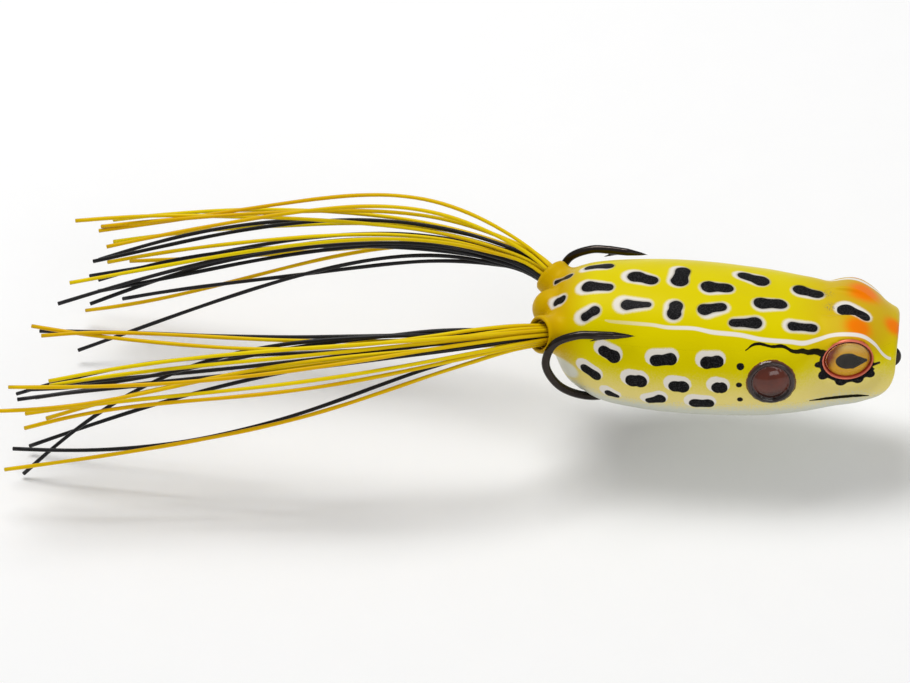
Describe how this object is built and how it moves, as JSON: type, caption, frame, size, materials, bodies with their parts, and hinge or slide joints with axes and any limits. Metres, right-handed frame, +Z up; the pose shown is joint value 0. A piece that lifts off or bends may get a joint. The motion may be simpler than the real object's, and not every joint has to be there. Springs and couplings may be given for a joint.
{
  "type": "topwater popper",
  "caption": "Hollow soft frog popper with a cupped mouth, a weighted double hook, domed eyes and two legs of round rubber strands held by collars.",
  "frame": {"origin": "on the flat of the keel, below the middle of the body's length", "axes": "+X to the nose, +Y to the frog's left, +Z up through the back"},
  "size_m": [0.1527, 0.0605, 0.035],
  "materials": {
    "skin": "soft moulded skin, painted, satin gloss",
    "hook_wire": "black nickel plate, polished",
    "weight": "dull cast metal",
    "nose_seal": "plain moulded",
    "eye_rim": "copper-red metallic paint",
    "eye_foil": "gold foil with a black pupil",
    "eye_clear": "clear cast resin",
    "collar": "black band",
    "strand_yellow": "yellow round rubber, satin",
    "strand_black": "black round rubber, satin"
  },
  "bodies": {
    "body": {"body_shell": "skin", "nose_collar": "nose_seal", "right_eye_ring": "eye_rim", "right_eye_foil": "eye_foil", "right_eye_dome": "eye_clear", "left_eye_ring": "eye_rim", "left_eye_foil": "eye_foil", "left_eye_dome": "eye_clear"},
    "hook": {"double_hook": "hook_wire", "tail_weight": "weight"},
    "right_leg_root": {"right_leg_collar": "collar"},
    "right_leg": {"right_strand_01": "strand_yellow", "right_strand_02": "strand_yellow", "right_strand_03": "strand_yellow", "right_strand_04": "strand_black", "right_strand_05": "strand_black", "right_strand_06": "strand_yellow", "right_strand_07": "strand_yellow", "right_strand_08": "strand_black", "right_strand_09": "strand_black", "right_strand_10": "strand_yellow", "right_strand_11": "strand_black", "right_strand_12": "strand_yellow", "right_strand_13": "strand_black", "right_strand_14": "strand_black", "right_strand_15": "strand_yellow", "right_strand_16": "strand_yellow", "right_strand_17": "strand_black", "right_strand_18": "strand_black", "right_strand_19": "strand_yellow"},
    "left_leg_root": {"left_leg_collar": "collar"},
    "left_leg": {"left_strand_01": "strand_yellow", "left_strand_02": "strand_yellow", "left_strand_03": "strand_yellow", "left_strand_04": "strand_yellow", "left_strand_05": "strand_yellow", "left_strand_06": "strand_black", "left_strand_07": "strand_yellow", "left_strand_08": "strand_black", "left_strand_09": "strand_black", "left_strand_10": "strand_yellow", "left_strand_11": "strand_black", "left_strand_12": "strand_yellow", "left_strand_13": "strand_black", "left_strand_14": "strand_black", "left_strand_15": "strand_yellow", "left_strand_16": "strand_black", "left_strand_17": "strand_black", "left_strand_18": "strand_black", "left_strand_19": "strand_yellow"}
  },
  "joints": [
    {"name": "hook_slide", "type": "slide", "parent": "body", "child": "hook", "axis": [-1, 0, 0], "range_m": [0, 0.001]},
    {"name": "right_leg_swing", "type": "hinge", "parent": "body", "child": "right_leg_root", "pos_m": [-0.0277, -0.00805, 0.0155], "axis": [0, 0, 1], "range_deg": [-2, 12]},
    {"name": "right_leg_lift", "type": "hinge", "parent": "right_leg_root", "child": "right_leg", "pos_m": [-0.0277, -0.00805, 0.0155], "axis": [0, 1, 0], "range_deg": [-8, 12]},
    {"name": "left_leg_swing", "type": "hinge", "parent": "body", "child": "left_leg_root", "pos_m": [-0.0277, 0.00805, 0.0155], "axis": [0, 0, -1], "range_deg": [-2, 12]},
    {"name": "left_leg_lift", "type": "hinge", "parent": "left_leg_root", "child": "left_leg", "pos_m": [-0.0277, 0.00805, 0.0155], "axis": [0, 1, 0], "range_deg": [-8, 12]}
  ]
}
